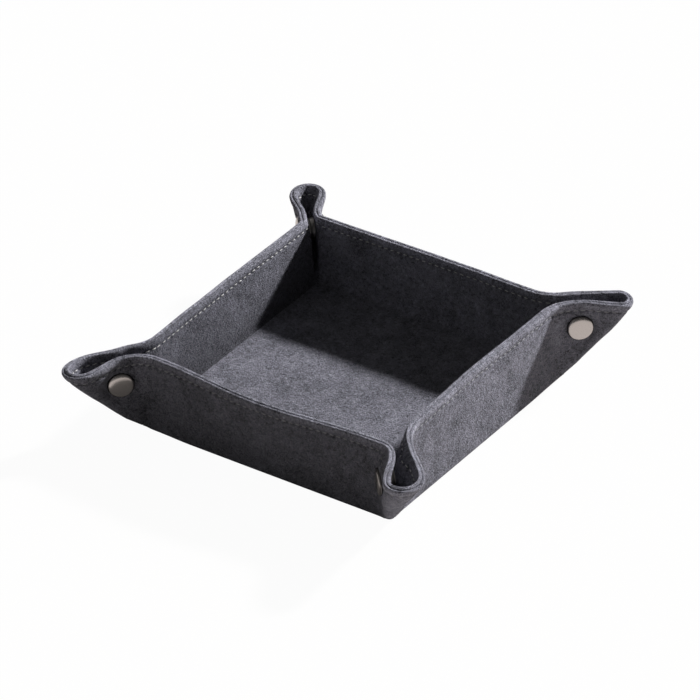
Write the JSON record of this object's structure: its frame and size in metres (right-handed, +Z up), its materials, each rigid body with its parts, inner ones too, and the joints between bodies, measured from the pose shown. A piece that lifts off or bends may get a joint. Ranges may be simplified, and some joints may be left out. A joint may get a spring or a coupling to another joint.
{
  "type": "snap-corner desk tray",
  "caption": "Square tray of dark suede: a double-layer folded sheet over a base board, its corners pinched into looped ears by domed snap fasteners.",
  "frame": {"origin": "centre of the underside of the base", "axes": "+X along the front wall to the right, +Y towards the back wall, +Z up out of the tray"},
  "size_m": [0.1854, 0.1854, 0.0392],
  "materials": {
    "suede_outer": "matt suede",
    "suede_lining": "matt suede",
    "base_board": "raw grey fibreboard",
    "snap_cap_metal": "polished dark nickel",
    "snap_part_metal": "plain nickel"
  },
  "bodies": {
    "base": {"outer_base": "suede_outer", "lining_base": "suede_lining", "base_board": "base_board"},
    "wall_front": {"outer_wall_front": "suede_outer", "lining_wall_front": "suede_lining"},
    "ear_front_right_on_front": {"outer_ear_front_right_on_front": "suede_outer", "lining_ear_front_right_on_front": "suede_lining", "socket_cap_front_right": "snap_cap_metal", "socket_front_right": "snap_part_metal", "spring_front_right": "snap_part_metal"},
    "ear_front_left_on_front": {"outer_ear_front_left_on_front": "suede_outer", "lining_ear_front_left_on_front": "suede_lining", "stud_cap_front_left": "snap_cap_metal", "stud_front_left": "snap_part_metal"},
    "wall_right": {"outer_wall_right": "suede_outer", "lining_wall_right": "suede_lining"},
    "ear_back_right_on_right": {"outer_ear_back_right_on_right": "suede_outer", "lining_ear_back_right_on_right": "suede_lining", "socket_cap_back_right": "snap_cap_metal", "socket_back_right": "snap_part_metal", "spring_back_right": "snap_part_metal"},
    "ear_front_right_on_right": {"outer_ear_front_right_on_right": "suede_outer", "lining_ear_front_right_on_right": "suede_lining", "stud_cap_front_right": "snap_cap_metal", "stud_front_right": "snap_part_metal"},
    "wall_back": {"outer_wall_back": "suede_outer", "lining_wall_back": "suede_lining"},
    "ear_back_left_on_back": {"outer_ear_back_left_on_back": "suede_outer", "lining_ear_back_left_on_back": "suede_lining", "socket_cap_back_left": "snap_cap_metal", "socket_back_left": "snap_part_metal", "spring_back_left": "snap_part_metal"},
    "ear_back_right_on_back": {"outer_ear_back_right_on_back": "suede_outer", "lining_ear_back_right_on_back": "suede_lining", "stud_cap_back_right": "snap_cap_metal", "stud_back_right": "snap_part_metal"},
    "wall_left": {"outer_wall_left": "suede_outer", "lining_wall_left": "suede_lining"},
    "ear_front_left_on_left": {"outer_ear_front_left_on_left": "suede_outer", "lining_ear_front_left_on_left": "suede_lining", "socket_cap_front_left": "snap_cap_metal", "socket_front_left": "snap_part_metal", "spring_front_left": "snap_part_metal"},
    "ear_back_left_on_left": {"outer_ear_back_left_on_left": "suede_outer", "lining_ear_back_left_on_left": "suede_lining", "stud_cap_back_left": "snap_cap_metal", "stud_back_left": "snap_part_metal"}
  },
  "joints": [
    {"name": "wall_front_fold", "type": "hinge", "parent": "base", "child": "wall_front", "pos_m": [0, -0.06662, 0.00088], "axis": [1, 0, 0], "range_deg": [0, 75]},
    {"name": "wall_back_fold", "type": "hinge", "parent": "base", "child": "wall_back", "pos_m": [0, 0.06662, 0.00088], "axis": [-1, 0, 0], "range_deg": [0, 75]},
    {"name": "wall_left_fold", "type": "hinge", "parent": "base", "child": "wall_left", "pos_m": [-0.06662, 0, 0.00088], "axis": [0, -1, 0], "range_deg": [0, 75]},
    {"name": "wall_right_fold", "type": "hinge", "parent": "base", "child": "wall_right", "pos_m": [0.06662, 0, 0.00088], "axis": [0, 1, 0], "range_deg": [0, 75]},
    {"name": "ear_back_left_on_back_fold", "type": "hinge", "parent": "wall_back", "child": "ear_back_left_on_back", "pos_m": [-0.06191, 0.06443, 0.00502], "axis": [0.0038, 0.0093, 1], "range_deg": [0, 33.75]},
    {"name": "ear_back_left_on_left_fold", "type": "hinge", "parent": "wall_left", "child": "ear_back_left_on_left", "pos_m": [-0.06443, 0.06191, 0.00502], "axis": [-0.0093, -0.0038, 1], "range_deg": [-33.75, 0]},
    {"name": "ear_back_right_on_back_fold", "type": "hinge", "parent": "wall_back", "child": "ear_back_right_on_back", "pos_m": [0.06191, 0.06443, 0.00502], "axis": [-0.0038, 0.0093, 1], "range_deg": [-33.75, 0]},
    {"name": "ear_back_right_on_right_fold", "type": "hinge", "parent": "wall_right", "child": "ear_back_right_on_right", "pos_m": [0.06443, 0.06191, 0.00502], "axis": [0.0093, -0.0038, 1], "range_deg": [0, 33.75]},
    {"name": "ear_front_left_on_front_fold", "type": "hinge", "parent": "wall_front", "child": "ear_front_left_on_front", "pos_m": [-0.06191, -0.06443, 0.00502], "axis": [0.0038, -0.0093, 1], "range_deg": [-33.75, 0]},
    {"name": "ear_front_left_on_left_fold", "type": "hinge", "parent": "wall_left", "child": "ear_front_left_on_left", "pos_m": [-0.06443, -0.06191, 0.00502], "axis": [-0.0093, 0.0038, 1], "range_deg": [0, 33.75]},
    {"name": "ear_front_right_on_front_fold", "type": "hinge", "parent": "wall_front", "child": "ear_front_right_on_front", "pos_m": [0.06191, -0.06443, 0.00502], "axis": [-0.0038, -0.0093, 1], "range_deg": [0, 33.75]},
    {"name": "ear_front_right_on_right_fold", "type": "hinge", "parent": "wall_right", "child": "ear_front_right_on_right", "pos_m": [0.06443, -0.06191, 0.00502], "axis": [0.0093, 0.0038, 1], "range_deg": [-33.75, 0]}
  ],
  "couplings": [
    {"joint": "ear_front_right_on_front_fold", "follows": "wall_front_fold", "ratio": 0.45},
    {"joint": "ear_front_left_on_front_fold", "follows": "wall_front_fold", "ratio": -0.45},
    {"joint": "wall_right_fold", "follows": "wall_front_fold", "ratio": 1},
    {"joint": "ear_back_right_on_right_fold", "follows": "wall_front_fold", "ratio": 0.45},
    {"joint": "ear_front_right_on_right_fold", "follows": "wall_front_fold", "ratio": -0.45},
    {"joint": "wall_back_fold", "follows": "wall_front_fold", "ratio": 1},
    {"joint": "ear_back_left_on_back_fold", "follows": "wall_front_fold", "ratio": 0.45},
    {"joint": "ear_back_right_on_back_fold", "follows": "wall_front_fold", "ratio": -0.45},
    {"joint": "wall_left_fold", "follows": "wall_front_fold", "ratio": 1},
    {"joint": "ear_front_left_on_left_fold", "follows": "wall_front_fold", "ratio": 0.45},
    {"joint": "ear_back_left_on_left_fold", "follows": "wall_front_fold", "ratio": -0.45}
  ]
}
